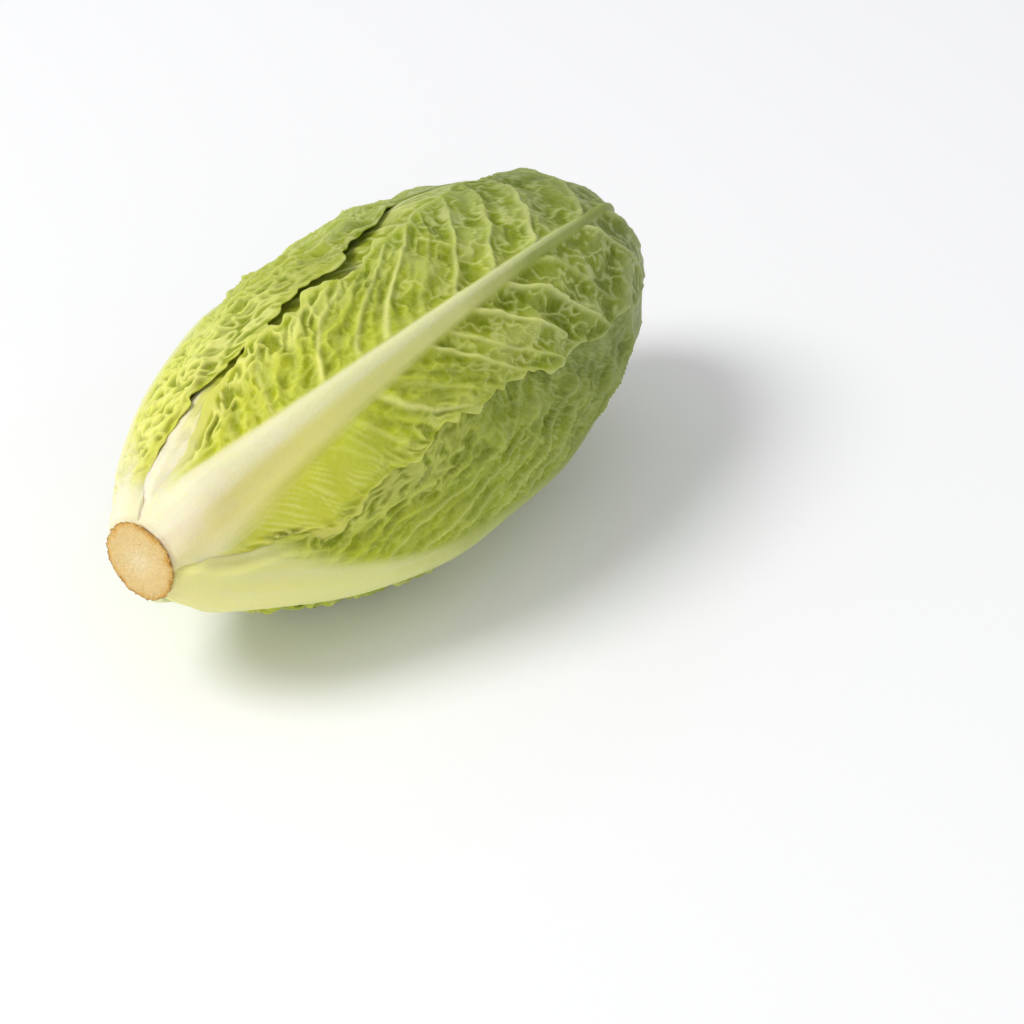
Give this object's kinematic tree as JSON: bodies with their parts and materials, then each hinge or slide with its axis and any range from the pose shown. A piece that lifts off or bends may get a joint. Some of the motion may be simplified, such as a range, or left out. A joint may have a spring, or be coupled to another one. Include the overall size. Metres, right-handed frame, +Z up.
{
  "type": "romaine heart",
  "caption": "Long lettuce heart lying on its side: upright ribbed leaves packed round a tapering stem, cut flat at the butt and rounded at the leaf tips.",
  "frame": {"origin": "under the middle of the head, on the surface that it lies on", "axes": "+X along the head from the cut butt to the leaf tips, +Z up, +Y to the side that faces away when the butt is on the left"},
  "size_m": [0.2174, 0.0984, 0.0968],
  "materials": {
    "leaf_outer": "fresh lettuce blade: soft satin green with pale raised veins, fading to a white rib and foot",
    "leaf_inner": "pale yellow-green lettuce blade that has had little light, satin, with a white rib",
    "leaf_heart": "yellow crumpled young leaf, satin and slightly translucent",
    "stem_cut": "cut stem tissue: dry, matt and tan, browned at the rim, cream inside"
  },
  "bodies": {
    "root": {"outer_leaf_front": "leaf_outer", "outer_leaf_top": "leaf_outer", "outer_leaf_under": "leaf_outer", "outer_leaf_right": "leaf_outer", "outer_leaf_gap": "leaf_outer", "outer_leaf_back": "leaf_outer", "inner_leaf_01": "leaf_inner", "inner_leaf_02": "leaf_inner", "inner_leaf_03": "leaf_inner", "inner_leaf_04": "leaf_inner", "inner_leaf_05": "leaf_inner", "inner_leaf_06": "leaf_inner", "inner_leaf_07": "leaf_inner", "inner_leaf_08": "leaf_inner", "inner_leaf_09": "leaf_inner", "inner_leaf_10": "leaf_inner", "inner_leaf_11": "leaf_inner", "inner_leaf_12": "leaf_inner", "heart_leaf_01": "leaf_heart", "heart_leaf_02": "leaf_heart", "heart_leaf_03": "leaf_heart", "stem": "stem_cut"}
  },
  "joints": []
}
